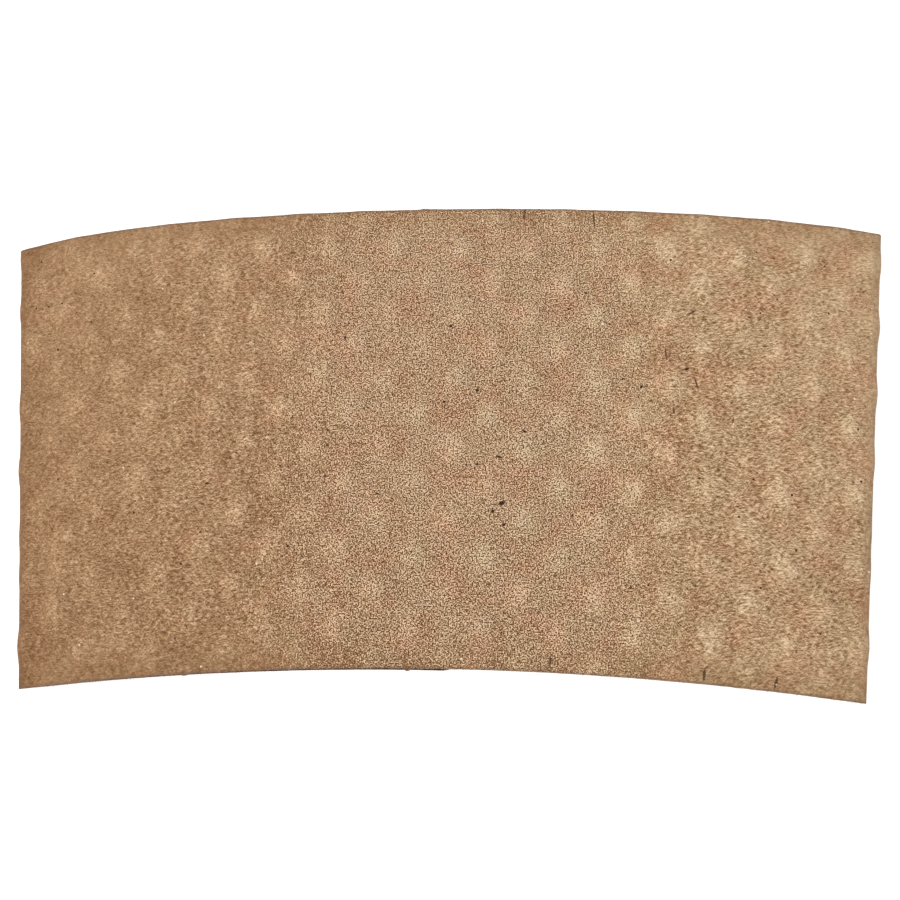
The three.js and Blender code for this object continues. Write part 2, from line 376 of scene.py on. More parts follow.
def relief(tree, section, x, y):
    """Share of height that dimples keep: none in the lap, less on a crease and at a rim."""
    place = own_step(x, y)
    pressed = looked_up(tree, section, "pressed", place)
    creased = looked_up(tree, section, "creased", place)
    _, radius = fan_place(x, y)
    rim = SLANT_HEIGHT / 2
    slack = (radius - mid_radius).math("ABSOLUTE").ramp(rim - RIM_SLACK, rim, 1.0, RIM_SHARE)
    return (1 - pressed) * (1 - creased * (1 - CREASED_SHARE)) * slack


def folded(tree, section, x, y, height):
    """Place on the folded sleeve of a point of the flat web."""
    _, radius = fan_place(x, y)
    place = own_step(x, y)
    names = ("turn", "climb", "heading", "lift", "drop")
    turn, climb, way, lift, drop = (looked_up(tree, section, name, place) for name in names)
    ray = tree.vector(turn.sine() * climb.cosine(), turn.cosine() * climb.cosine(), climb.sine())
    along = tree.vector(turn.cosine(), -turn.sine(), 0.0)
    up = tree.vectors("CROSS_PRODUCT", along, ray)
    outside = tree.vectors("ADD", tree.scaled(along, -way.sine()), tree.scaled(up, way.cosine()))
    return tree.vectors("ADD", tree.scaled(ray, radius - drop), tree.scaled(outside, height + lift))


print("dimples per panel:", round(panel * mid_radius * SLANT_HEIGHT / DIMPLE_SPACING**2))

# %% [markdown]
# ## The board
#
# The board could be modelled by hand on top of the solid, but its shape is a rule from end to end:
# a flat fan, dimples by the net, and one fold for every point. So a Geometry Nodes tree makes it
# from a grid whose columns are fan angles and whose rows are distances from the fan's centre. The
# columns stand closer together on the creases, where the board turns right round. The rims are cut
# by a die, so they wander by a hair's breadth and carry torn fibres.

# %% Columns of the board
CREASE_CROWDING = 5
CROWDED_FROM, CROWDED_TO = 0.5, 1.2  # in bends, from the middle of a crease
COLUMNS = 440
ROWS = 104


def crowded_angles():
    """Fan angles at even shares of the columns, closer together on the creases."""
    step = (right_end - left_end) / STEPS
    reach = [0.0]
    for i in range(STEPS):
        angle = left_end + (i + 0.5) * step
        away = abs(abs(angle) - crease)
        on_crease = 1 - smooth(away, bend * CROWDED_FROM, bend * CROWDED_TO)
        reach.append(reach[-1] + 1 + (CREASE_CROWDING - 1) * on_crease)
    angles, at = [], 0
    for i in range(STEPS + 1):
        wanted = reach[-1] * i / STEPS
        while at < STEPS - 1 and reach[at + 1] < wanted:
            at += 1
        angles.append(left_end + step * (at + (wanted - reach[at]) / (reach[at + 1] - reach[at])))
    return angles


def corner_inset(angle):
    """How far the round corners of the two ends cut into the fan at a fan angle."""
    inside = min(min(angle - left_end, right_end - angle) * mid_radius, END_CORNER)
    return END_CORNER - math.sqrt(max(END_CORNER**2 - (END_CORNER - inside) ** 2, 0))


def board_table():
    """The section's table, with the columns' fan angles and the cut corners added to it."""
    mesh = section_mesh()
    angles = crowded_angles()
    mesh.attributes.new("column_angle", "FLOAT", "POINT").data.foreach_set("value", angles)
    insets = [corner_inset(angle) for angle in angles]
    mesh.attributes.new("column_inset", "FLOAT", "POINT").data.foreach_set("value", insets)
    return mesh


print("columns and rows:", COLUMNS, ROWS)

# %% [markdown]
# ## Trees, and the plain meshes that they make
#
# Every piece below comes from a tree that takes a table and a few named sizes, so other sizes can
# be tried without a look inside it. The pieces are handed on as plain meshes, which any tool can
# read. A live modifier would stay adjustable, but only in Blender.

# %% A tree with named inputs, and the plain mesh that it makes


def new_tree(name, sizes):
    """An empty Geometry Nodes tree that takes a table and named sizes. Whole sizes are counts."""
    group = bpy.data.node_groups.new(name, "GeometryNodeTree")
    group.interface.new_socket("Table", in_out="INPUT", socket_type="NodeSocketGeometry")
    for label, value in sizes.items():
        kind = "NodeSocketInt" if isinstance(value, int) else "NodeSocketFloat"
        group.interface.new_socket(label, in_out="INPUT", socket_type=kind).default_value = value
    group.interface.new_socket("Mesh", in_out="OUTPUT", socket_type="NodeSocketGeometry")
    tree = Tree(group, sizes)
    return tree, tree.add("NodeGroupInput")


def at_place(tree, geometry, place):
    """The geometry with its points at other places."""
    return tree.add("GeometryNodeSetPosition", {}, {"Geometry": geometry, "Position": place})


def stored(tree, geometry, name, value, kind="FLOAT"):
    """The geometry with a value kept on every point, under a name."""
    settings = {"data_type": kind, "domain": "POINT"}
    sockets = {"Geometry": geometry, "Name": name, "Value": value}
    return tree.add("GeometryNodeStoreNamedAttribute", settings, sockets)


def end_tree(tree, geometry, material):
    """Ends a tree with real geometry that carries its finish."""
    real = tree.add("GeometryNodeRealizeInstances", {}, {"Geometry": geometry})
    done = tree.add("GeometryNodeSetMaterial", {}, {"Geometry": real, "Material": material})
    tree.add("NodeGroupOutput", {}, {"Mesh": done})


def set_inputs(modifier, values):
    """Sets a tree's inputs by the identifiers of their sockets."""
    for item in modifier.node_group.interface.items_tree:
        if item.in_out == "INPUT" and item.name in values:
            modifier[item.identifier] = values[item.name]


def made_by(tree, table, name, thickness=0.0):
    """The plain mesh that a tree makes from a table, with a thickness if one is asked for."""
    maker = bpy.data.objects.new(name, table)
    bpy.context.collection.objects.link(maker)
    modifier = maker.modifiers.new("shape", "NODES")
    modifier.node_group = tree.tree
    set_inputs(modifier, tree.sizes)
    if thickness:
        wall = maker.modifiers.new("board", "SOLIDIFY")
        wall.thickness, wall.offset = thickness, 0.0
        wall.use_even_offset = True
    shown = maker.evaluated_get(bpy.context.evaluated_depsgraph_get())
    mesh = bpy.data.meshes.new_from_object(shown)
    bpy.data.objects.remove(maker)
    mesh.name = name
    return mesh


print("trees take a table and named sizes, and give a plain mesh")

# %% [markdown]
# ## Kraft board
#
# Unbleached board is a felt of brown fibres. From a step away it is one warm tan, but close up it
# is a tangle of lighter and darker threads a sixth of a millimetre wide, with clouds where the
# pulp is thicker, rosy and greenish patches, dark specks of bark and a few pale ones. A painted
# image could show all that, but not at every scale, so the finish is made from noise that is laid
# out on the flat web, in millimetres, and therefore folds with the board. The threads are noise
# stretched in several directions, along paths that wander.

# %% Colours
LIGHT_ON_PART = 1.42
TONE_SPREAD = 37


def screen(red, green, blue):
    """Colour of a surface that comes out as the given screen colour, 0 to 255, in this light."""
    parts = (red, green, blue)
    return tuple(((part / 255 + 0.055) / 1.055) ** 2.4 / LIGHT_ON_PART for part in parts)


def kraft_tone(level):
    """Kraft brown of a given green level: its red and blue stay as far off at every lightness."""
    return screen(level + TONE_SPREAD, level, level - TONE_SPREAD)


def kraft_stops(levels):
    """Stops of a ramp of kraft browns, from places on it and green levels."""
    return [(place, kraft_tone(level)) for place, level in levels]


FELT_TONES = kraft_stops([(0.08, 56), (0.3, 98), (0.5, 138), (0.7, 178), (0.92, 212)])
# Bark brown, also used as painted shade in small creases and in the slit between the layers.
BARK_AND_SHADE = screen(56, 28, 12)
PALE_FIBRE = screen(250, 234, 208)
# A darker grey-brown, for the creases and the rims of the outer skin.
GREY_BROWN = screen(112, 88, 74)
CUT_BROWN = screen(120, 88, 62)
print("middle tone of the felt, linear:", [round(part, 3) for part in FELT_TONES[2][1]])

# %% [markdown]
# ## Finishes as node trees
#
# Finishes are sums too, so they use the same sockets as the shapes. Each starts from an empty tree
# and ends in one Principled shader, with fixed values on its own sockets. Only colour, roughness
# and bump vary over a surface, because those can be baked for other tools.

# %% A new material with an empty tree


def new_material(name):
    """A material and its tree, without any nodes."""
    material = bpy.data.materials.new(name)
    material.use_nodes = True
    material.node_tree.nodes.clear()
    return material, Tree(material.node_tree)


def finish(tree, colour, roughness, normal, specular=0.25):
    """Ends a material in one shader, and gives that shader's node."""
    sockets = {"Base Color": colour, "Roughness": roughness, "Normal": normal}
    shader = tree.add("ShaderNodeBsdfPrincipled", {}, {**sockets, "Specular IOR Level": specular})
    tree.add("ShaderNodeOutputMaterial", {}, {"Surface": shader})
    return shader.socket.node


def noise(tree, place, scale, detail=2.0, roughness=0.5):
    """Soft noise round 0.5."""
    sockets = {"Vector": place, "Scale": scale, "Detail": detail, "Roughness": roughness}
    return tree.add("ShaderNodeTexNoise", {}, sockets)


def toned(tree, stops, share):
    """A colour from a ramp of tones."""
    return tree.add("ShaderNodeValToRGB", {"stops": stops}, {"Fac": share})


def bumped(tree, height, strength, depth):
    """The surface's normal, tilted as if its height varied."""
    sockets = {"Strength": strength, "Distance": depth, "Height": height}
    return tree.add("ShaderNodeBump", {}, sockets)


def blend(tree, share, first, second):
    """A colour between two colours. A Mix node takes these at 6 and 7 and gives one at 2."""
    node = tree.add("ShaderNodeMix", {"data_type": "RGBA"}, {"Factor": share}).socket.node
    for socket, value in ((node.inputs[6], first), (node.inputs[7], second)):
        if isinstance(value, Value):
            tree.tree.links.new(value.socket, socket)
        else:
            socket.default_value = (*value, 1)
    return Value(tree, node.outputs[2])


print("a finish is made of: noise, ramps of tones, blends, bump and one shader")

# %% [markdown]
# ## Threads and specks
#
# Felt has threads that lie every way, with a few more along the machine's run. Each direction is
# one noise stretched that way, and four directions already look like felt. Real curves would
# be truer, but the board would need some hundred thousand. Specks of bark sit in the cells of a
# Voronoi pattern: only a share of the cells holds one, and each cell draws its speck's size.

# %% The threads and specks of the board
THREAD_TURNS = (0.1, 0.85, 1.6, 2.4)
THREADS_PER_MM = 5.8
THREAD_STRETCH = 4.0
GRAIN_PER_MM = 5.5


def wandered(tree, place, scale, reach, detail=2.0, roughness=0.5):
    """The place, moved a little this way and that."""
    wander = noise(tree, place, scale, detail, roughness).other("Color")
    centred = tree.vectors("SUBTRACT", wander, (0.5, 0.5, 0.5))
    return tree.vectors("ADD", place, tree.scaled(centred, reach))


def threads(tree, web, lying):
    """Threads of the felt, round 0. More run along the rims if lying is over 0, else across."""
    bent = wandered(tree, web, 0.3, 1.5)
    scale = (THREADS_PER_MM / THREAD_STRETCH, THREADS_PER_MM, 1)
    total = 0
    for turn in THREAD_TURNS:
        sockets = {"Vector": bent, "Rotation": (0, 0, turn)}
        turned = tree.add("ShaderNodeMapping", {"vector_type": "TEXTURE"}, sockets)
        stretched = tree.vectors("MULTIPLY", turned, scale)
        share = lying * math.cos(2 * turn) + 1
        total = (noise(tree, stretched, 1.0, 1.0) - 0.5) * share + total
    return total / len(THREAD_TURNS)


def specks(tree, web, shift, per_mm, share, size):
    """Scattered specks: 1 on a speck. Only a share of the cells holds one."""
    moved = tree.vectors("ADD", wandered(tree, web, 3.0, 0.25), (*shift, 0))
    sockets = {"Vector": moved, "Scale": per_mm}
    cells = tree.add("ShaderNodeTexVoronoi", {"voronoi_dimensions": "2D"}, sockets)
    chance, width, _ = tree.parts(cells.other("Color"))
    reach = (width * 0.8 + 0.4) * (size * per_mm)
    return (reach - cells).ramp(0.0, 0.3 * size * per_mm) * chance.math("LESS_THAN", share)


print("threads:", len(THREAD_TURNS), "directions")

# %% [markdown]
# ## Marks of handling
#
# A few marks make one sleeve differ from the next: creases pressed by fingers, cracks that start
# at a rim, and the largest flecks of bark. The creases and cracks are painted as dark lines, the
# shade that lies in them. Noise can't put them where they are, so each is a
# soft oval with a place, a turn and a size of its own.

# %% Marks of handling
# Each: place across and up the front in mm, turn in degrees, half the length and half the width.
CREASE_SHADE_MARKS = [
    (32.2, 10, 93, 1, 0.14),
    (36.1, 5.8, 104, 0.95, 0.14),
    (32.9, 1.9, 90, 0.5, 0.15),
    (40.7, 0.5, 80, 0.5, 0.12),
    (36, 16, 30, 0.7, 0.14),
    (45.7, 11, 0, 0.35, 0.15),
    (13, 31.3, 88, 0.9, 0.17),
    (22.9, 30.2, 92, 1.5, 0.12),
    (15.8, -31.2, 86, 0.8, 0.15),
    (35.1, -32.6, 80, 0.8, 0.2),
    (44, -33.4, 72, 0.8, 0.2),
]
BARK_MARKS = [
    (6.3, 4.9, 0, 0.24, 0.21),
    (6.4, -5.5, 40, 0.21, 0.18),
    (9.7, -10.8, 20, 0.45, 0.30),
    (8.5, -11.9, 120, 0.27, 0.21),
    (1.8, 3.2, 0, 0.21, 0.18),
    (12.8, -1, 160, 0.30, 0.17),
    (9.4, -4.5, 170, 0.51, 0.14),
    (34.9, 7.8, 10, 0.39, 0.18),
    (28.7, 5.3, 60, 0.27, 0.20),
    (2.6, 14.3, 0, 0.24, 0.21),
    (10, -13.7, 35, 0.30, 0.20),
    (-12.2, 12.6, 75, 0.30, 0.18),
    (-30.4, -8.2, 10, 0.33, 0.15),
]
PALE_MARKS = [(7.8, -6.0, 0, 0.14, 0.12), (30.5, -2.6, 30, 0.22, 0.12), (4.5, -31.0, 0, 0.2, 0.14)]


def marked(tree, web, marks):
    """1 on any of the marks, which are long ovals with soft ends."""
    strongest = None
    for x, y, turn, length, width in marks:
        spot = {"Location": (x, y, 0), "Rotation": (0, 0, math.radians(turn))}
        sockets = {"Vector": web, **spot, "Scale": (length, width, 1)}
        oval = tree.add("ShaderNodeMapping", {"vector_type": "TEXTURE"}, sockets)
        away = tree.vectors("LENGTH", oval, output="Value").ramp(0.6, 1.3, 1.0, 0.0)
        strongest = away if strongest is None else strongest.math("MAXIMUM", away)
    return strongest


print("marks:", len(CREASE_SHADE_MARKS) + len(BARK_MARKS) + len(PALE_MARKS))

# %% [markdown]
# ## The finish of the board
#
# Lightness is one sum: the felt, its clouds, the tips of the dimples, partly rubbed paler and
# partly a painted highlight, painted shade in their hollows and along the left fold, painted light
# that grows to the right and to the top, and less of it at the rims. A ramp of browns turns the sum
# into colour, rosy and greenish patches tint it, and marks and specks go on top. Both skins share
# this finish, but the inner one has a painted shadow within a hair of the rims, where the eye looks
# into the slit.

# %% The kraft finish
# The dimples' tips are painted lighter, partly as a painted highlight and partly as rubbed fibre,
# and their hollows darker, as painted shade.
TIP_LIGHT_AND_WEAR = 0.125
HOLLOW_SHADE = 0.032
TIP_REACH = 3.4 * MM
FOLD_REACH_MM = 7.0
MEAN_LIGHTNESS = 0.513
# Three sizes of unevenness: how many to the mm, and how detailed each is.
CLOUD = (0.06, 4.0)
MOTTLE = (0.28, 3.0)
FINE_MOTTLE = (1.3, 1.0)


def near_middle(x):
    """1 in the middle of the front, where the felt is grainy, and 0 at both sides."""
    return (x - 5).math("ABSOLUTE").ramp(10.0, 34.0, 1.0, 0.0)


def from_rim(tree, web):
    """Distance from the nearer rim, in mm."""
    centre = (0, -mid_radius / MM, 0)
    from_middle = tree.vectors("DISTANCE", web, centre, output="Value") - mid_radius / MM
    return SLANT_HEIGHT / 2 / MM - from_middle.math("ABSOLUTE")


def round_the_folds(x, y):
    """How far past its fold a place is, and how far across the sleeve as it lies, in mm."""
    from_centre = y + mid_radius / MM
    arc = x.math("ARCTAN2", from_centre).math("ABSOLUTE") * (mid_radius / MM)
    past_fold = arc - crease * mid_radius / MM
    return past_fold, (arc - past_fold.math("MAXIMUM", 0.0) * 2) * x.math("SIGN")


def tip_light_and_wear(tree, web, relief_share):
    """Tips of the dimples, from 0 in a hollow to about 1: partly paler rubbed fibre where they
    touch things, partly a painted highlight on the raised tips.
    """
    x, y, _ = tree.parts(wandered(tree, web, 0.5, 1.6))
    distance, tip = tip_offset(tree, x * MM, y * MM, 1.25, 0.85)
    uneven = tree.add("ShaderNodeTexWhiteNoise", {"noise_dimensions": "2D"}, {"Vector": tip})
    round_tip = distance.ramp(0.0, TIP_REACH, 1.0, 0.0).math("POWER", 1.8)
    # How strongly the tips are painted lighter, from left to right across the sleeve.
    strength_across = x.ramp(-45.0, 5.0, 0.45, 1.15) * x.ramp(18.0, 52.0, 1.0, 0.58)
    return round_tip * (uneven * 0.6 + 0.65) * relief_share * strength_across


def felt_height(tree, web, creased, to_rim, fine_mottle):
    """The felt, round 0: threads all over, grain in the middle, and both calmer further out."""
    x, y, _ = tree.parts(web)
    middle = near_middle(x)
    lying = (x.ramp(-30.0, 30.0, 0.6, 0.95) - middle * 1.3) * (1 - creased)
    felt = threads(tree, web, lying) * (2.4 - middle * 0.2 - creased)
    grain = noise(tree, web, GRAIN_PER_MM, 1.0, 0.8) - 0.5
    felt = felt + grain * (middle * 5.2 + 0.45) * (fine_mottle * 2.2 + 1)
    out_x, out_y = (x - 8) / 56, (y + 8) / 62
    calmer = (out_x * out_x + out_y * out_y).ramp(0.1, 1.5, 1.06, 0.6)
    return felt * calmer * to_rim.ramp(0.0, 7.0, 0.6, 1.0)


def with_marks(tree, web, colour):
    """The colour with the marks of handling and the specks on top. The creases and cracks among the
    marks are painted shade.
    """
    x, _, _ = tree.parts(web)
    fine_share = near_middle(x) * 0.08 + 0.03
    layers = [
        # Creases and cracks: painted shade in bark brown.
        (marked(tree, web, CREASE_SHADE_MARKS) * 0.8, BARK_AND_SHADE),
        (marked(tree, web, BARK_MARKS), BARK_AND_SHADE),
        (marked(tree, web, PALE_MARKS) * 0.9, PALE_FIBRE),
        (specks(tree, web, (0, 0), 0.42, 0.09, 0.17) * 0.95, BARK_AND_SHADE),
        (specks(tree, web, (7, 3), 0.9, fine_share, 0.1) * 0.85, BARK_AND_SHADE),
        (specks(tree, web, (3, 9), 0.3, 0.14, 0.14) * 0.8, PALE_FIBRE),
    ]
    for share, tone in layers:
        colour = blend(tree, share, colour, tone)
    return colour


def kraft_board(name, rim_tone, rim_share):
    """The board's skin, with another tone within a hair of both rims. On the inner skin that tone
    is a painted shadow.
    """
    material, tree = new_material(name)
    web = tree.add("ShaderNodeAttribute", {"attribute_name": "web"}).other("Vector")
    relief_share = tree.add("ShaderNodeAttribute", {"attribute_name": "relief"}).other("Fac")
    creased = tree.add("ShaderNodeAttribute", {"attribute_name": "creased"}).other("Fac")
    x, y, _ = tree.parts(web)
    to_rim = from_rim(tree, web)
    past_fold, across = round_the_folds(x, y)
    near_fold = past_fold.math("ABSOLUTE").ramp(0.0, FOLD_REACH_MM, 1.0, 0.0)
    cloud, mottle, fine_mottle = (
        noise(tree, web, *size) - 0.5 for size in (CLOUD, MOTTLE, FINE_MOTTLE)
    )
    felt = felt_height(tree, web, creased, to_rim, fine_mottle)
    tip_light = tip_light_and_wear(tree, web, relief_share)
    # Painted highlight and rubbed fibre on the tips, and painted shade in the hollows.
    tip_highlight_and_wear = tip_light * (felt * 0.8 + 1) * (TIP_LIGHT_AND_WEAR + HOLLOW_SHADE)

    # Rosy patches are over 0 and greenish ones under 0.
    patch = noise(tree, tree.vectors("ADD", web, (40, 15, 0)), 0.2, 3.0)
    rosy = patch.ramp(0.4, 0.7, -0.4, 0.9) - tip_light * 0.35
    rosy = rosy * x.ramp(-48.0, 5.0, 0.3, 1.0) - across * 0.005

    # Painted shade along the left fold, where the board turns away from the light.
    fold_shade = near_fold * x.ramp(-10.0, 10.0, 0.09, 0.0)
    rim_shade = to_rim.ramp(0.0, 5.0, 0.05, 0.0)
    # Painted light: lighter to the right and to the top, as the light fell across the sleeve. The
    # middle of the front is a little darker, and so are the rosy patches.
    broad_light_and_tone = across * 0.0009 - rosy * 0.022 + y * 0.0006 - near_middle(x) * 0.037
    broad_light_and_tone = broad_light_and_tone - fold_shade - rim_shade
    lightness = felt + cloud * 0.16 + mottle * (0.22 - near_fold * 0.1) + fine_mottle * 0.26
    lightness = lightness + broad_light_and_tone + tip_highlight_and_wear + (MEAN_LIGHTNESS - HOLLOW_SHADE)
    tint = tree.vector(rosy * 0.035 + 1, 1 - rosy * 0.06, 1 - rosy * 0.06)
    colour = tree.vectors("MULTIPLY", toned(tree, FELT_TONES, lightness), tint)
    colour = with_marks(tree, web, colour)
    # Painted shade on both creases, where the board turns away from the light, over the crushed
    # fibre there.
    colour = blend(tree, creased * 0.15, colour, GREY_BROWN)
    colour = blend(tree, to_rim.ramp(0.1, 0.5, rim_share, 0.0), colour, rim_tone)
    bump = bumped(tree, felt, 0.4, 0.05 * MM)
    finish(tree, colour, felt.ramp(-0.4, 0.4, 0.95, 0.82), bump)
    return material


def cut_edge():
    """The die's cut through the board: darker, in plies, with torn fibre ends."""
    material, tree = new_material("cut_edge")
    place = tree.add("ShaderNodeTexCoord").other("Object")
    layers = noise(tree, tree.vectors("MULTIPLY", place, (900, 900, 9000)), 1.0, 2.0)
    ends = noise(tree, place, 7000, 2.0)
    lightness = layers * 0.5 + ends * 0.5
    tones = [(0.35, screen(92, 64, 44)), (0.5, CUT_BROWN), (0.65, screen(158, 124, 94))]
    colour = toned(tree, tones, lightness)
    bump = bumped(tree, lightness, 0.6, 0.05 * MM)
    finish(tree, colour, lightness.ramp(0.3, 0.7, 1.0, 0.9), bump)
    return material


# The outer skin turns a darker grey-brown within a hair of both rims.
kraft = kraft_board("kraft_outside", GREY_BROWN, 0.5)
# The inner skin's rims are painted nearly bark-dark: the shadow in the slit between the layers.
inside = kraft_board("kraft_inside", BARK_AND_SHADE, 0.95)
edge = cut_edge()
print("finishes:", kraft.name, inside.name, edge.name)

# %% [markdown]
# ## From a flat grid to the folded board
#
# The tree lays a grid out as the flat fan and keeps each point's place on it for the finish. Then
# it lifts the dimples and folds everything. The thickness is added last and to both sides of the
# sheet, so the wall stays even round the folds. A block with the dimples cut into it would need
# far more work, and its hollows wouldn't lie behind its tips.

# %% The board's tree
RIM_WANDER = 0.05 * MM
RIM_SHARE_OF_ROWS = 0.02


def board_tree():
    """The flat fan as a grid, embossed and folded."""
    sizes = {
        "Columns": COLUMNS,
        "Rows": ROWS,
        "Small Radius": small_radius,
        "Large Radius": large_radius,
        "Dimple Height": DIMPLE_HEIGHT,
        "Rim Wander": RIM_WANDER,
    }
    tree, given = new_tree("embossed and folded board", sizes)
    counts = {"Vertices X": given.other("Columns"), "Vertices Y": given.other("Rows")}
    grid = tree.add("GeometryNodeMeshGrid", {}, {"Size X": 1.0, "Size Y": 1.0, **counts})
    across, along, _ = tree.parts(tree.add("GeometryNodeInputPosition"))
    column = (across + 0.5) * STEPS
    angle = looked_up(tree, given, "column_angle", column)
    inset = looked_up(tree, given, "column_inset", column)
    share = along + 0.5
    small, large = given.other("Small Radius") + inset, given.other("Large Radius") - inset
    radius = small + (large - small) * share

    torn = noise(tree, tree.vector(angle * (mid_radius / MM), share * 40.0), 0.8, 4.0, 0.7)
    inner_share = 0.5 - RIM_SHARE_OF_ROWS
    past_inner = along.math("ABSOLUTE") - inner_share
    rim = past_inner.ramp(0.0, RIM_SHARE_OF_ROWS, 0.0, 1.0, "LINEAR")
    radius = radius + (torn - 0.5) * rim * (given.other("Rim Wander") * 2)

    flat = at_place(tree, grid, tree.vector(*flat_place(angle, radius)))
    x, y, _ = tree.parts(tree.add("GeometryNodeInputPosition"))
    kept_share = relief(tree, given, x, y)
    creased = looked_up(tree, given, "creased", own_step(x, y))
    kept = stored(tree, flat, "web", tree.vector(x / MM, y / MM), "FLOAT_VECTOR")
    kept = stored(tree, kept, "relief", kept_share)
    kept = stored(tree, kept, "creased", creased)
    height = domes(tree, x, y) * kept_share * given.other("Dimple Height")
    end_tree(tree, at_place(tree, kept, folded(tree, given, x, y, height)), kraft)
    return tree


board = made_by(board_tree(), board_table(), "board", BOARD)
print("faces of the board:", len(board.polygons))

# %% [markdown]
# ## The board's place in the frame
#
# The fold counts from the fan's centre, but the frame has its origin on the floor, in the middle of
# the sleeve. So the board's box is set on the box of the plain solid, and every later piece is
# moved by the same step. The faces come in order, first one skin, then the other, then the cut
# walls, so each gets its finish by number instead of by a search for its direction.

# %% Into the frame
SHARPEST_SMOOTH_TURN = math.radians(50)


def box_of(mesh):
    """Lowest and highest corner of a mesh."""
    corners = [vertex.co for vertex in mesh.vertices]
    lowest = Vector(min(corner[axis] for corner in corners) for axis in range(3))
    highest = Vector(max(corner[axis] for corner in corners) for axis in range(3))
    return lowest, highest


board_low, board_high = box_of(board)
to_frame = (low + high - board_low - board_high) / 2
to_frame.z = low.z - board_low.z
print("board, mm:", [round(side / MM, 2) for side in board_high - board_low])


def placed(name, mesh):
    """A finished piece at its place in the frame."""
    mesh.transform(Matrix.Translation(to_frame))
    piece = bpy.data.objects.new(name, mesh)
    bpy.context.collection.objects.link(piece)
    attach(piece, "root")
    return piece


def finish_board(mesh):
    """Smooth skins, sharp cut edges, and the cut's own finish on the walls between the skins."""
    skin = (COLUMNS - 1) * (ROWS - 1)
    mesh.materials.clear()
    for material in (kraft, inside, edge):
        mesh.materials.append(material)
    for face in mesh.polygons:
        face.use_smooth = True
        face.material_index = min(face.index // skin, 2)
    mesh.set_sharp_from_angle(angle=SHARPEST_SMOOTH_TURN)


finish_board(board)
sleeve = placed("sleeve_board", board)
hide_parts("sleeve")
print("placed:", sleeve.name)

# %% [markdown]
# ## Loose fibres and rim fuzz
#
# The skin of unbleached board sheds: single fibres lie loose on it, and the die leaves torn ends
# along both rims. They could be drawn one by one, but a tree can scatter them: it lays small tubes
# out on the flat web, bends them, and folds them with the board. Each tube keeps its own tone,
# from pale to bark brown.

# %% The fibres' tree
FIBRE_RADIUS = 0.022 * MM
FIBRE_SEGMENTS = 5
ENDS_KEPT_FREE = 0.995
# Name, count, seed, whether along the rims, inset from a rim, longest in mm, and how far they bend.
FIBRE_SORTS = [
    ("loose_fibres", 1500, 3, False, 0.3 * MM, 1.9, 0.7 * MM),
    ("rim_fuzz", 900, 8, True, 0.08 * MM, 0.5, 0.25 * MM),
]


def scattered_fibres(count, seed, along_rims, inset, longest, curl):
    """Fibres on both skins, or standing out from both rims."""
    sizes = {
        "Count": count,
        "Seed": seed,
        "Fibre Radius": FIBRE_RADIUS,
        "Longest": longest,
        "Small Radius": small_radius,
    }
    tree, given = new_tree("fuzz on the rims" if along_rims else "loose fibres", sizes)

    def chance(number, least=0.0, most=1.0):
        """Random value number so-and-so of each fibre."""
        sockets = {2: least, 3: most, "Seed": given.other("Seed") + number}
        return tree.add("FunctionNodeRandomValue", {"data_type": "FLOAT"}, sockets, 1)

    line = tree.add("GeometryNodeMeshLine", {}, {"Count": given.other("Count")})
    angle = chance(1, left_end * ENDS_KEPT_FREE, right_end * ENDS_KEPT_FREE)
    upward = chance(3).math("GREATER_THAN", 0.5) if along_rims else chance(2)
    radius = given.other("Small Radius") + inset + upward * (SLANT_HEIGHT - 2 * inset)
    level = chance(6, -0.8, 0.8) if along_rims else chance(5).math("GREATER_THAN", 0.3) * 2 - 1
    spots = at_place(tree, line, tree.vector(*flat_place(angle, radius)))
    spots = stored(tree, spots, "tone", chance(4))
    spots = stored(tree, spots, "level", level)

    counts = {"Vertices": 3, "Side Segments": FIBRE_SEGMENTS}
    shape = {**counts, "Radius": given.other("Fibre Radius"), "Depth": 1.0 * MM}
    tube = tree.add("GeometryNodeMeshCylinder", {"fill_type": "TRIANGLE_FAN"}, shape)
    lying_down = {"Geometry": tube, "Rotation": (math.pi / 2, 0, 0)}
    turn = chance(7, -0.9, 0.9) - angle if along_rims else chance(7, 0.0, math.pi)
    sockets = {
        "Points": spots,
        "Instance": tree.add("GeometryNodeTransform", {}, lying_down),
        "Rotation": tree.vector(0.0, 0.0, turn),
        "Scale": tree.vector(1.0, chance(8, 0.25, 1.0) * given.other("Longest"), 1.0),
    }
    laid = tree.add("GeometryNodeInstanceOnPoints", {}, sockets)
    real = tree.add("GeometryNodeRealizeInstances", {}, {"Geometry": laid})

    at = tree.add("GeometryNodeInputPosition")
    x, y, _ = tree.parts(wandered(tree, at, 900.0, curl, 1.0))
    _, _, off = tree.parts(at)
    side = tree.add("GeometryNodeInputNamedAttribute", {"data_type": "FLOAT"}, {"Name": "level"})
    dimpled = domes(tree, x, y) * relief(tree, given, x, y) * DIMPLE_HEIGHT
    height = dimpled + side * (BOARD / 2 + 0.2 * FIBRE_RADIUS) + off
    bent = at_place(tree, real, folded(tree, given, x, y, height))
    end_tree(tree, bent, fibre_finish)
    return tree


def fibre_material():
    """Single fibres: each of one tone, a little glossier than the felt."""
    material, tree = new_material("loose_fibre")
    tone = tree.add("ShaderNodeAttribute", {"attribute_name": "tone"}).other("Fac")
    stops = kraft_stops([(0.0, 62), (0.25, 118), (0.7, 165), (1.0, 206)])
    colour = toned(tree, stops, tone)
    bump = bumped(tree, tone, 0.2, 0.01 * MM)
    finish(tree, colour, tone.ramp(0.0, 1.0, 0.8, 0.6), bump)
    return material


def only(mesh, material):
    """Leaves one finish on all faces of a mesh."""
    mesh.materials.clear()
    mesh.materials.append(material)
    mesh.polygons.foreach_set("material_index", [0] * len(mesh.polygons))
    mesh.polygons.foreach_set("use_smooth", [True] * len(mesh.polygons))
    return mesh


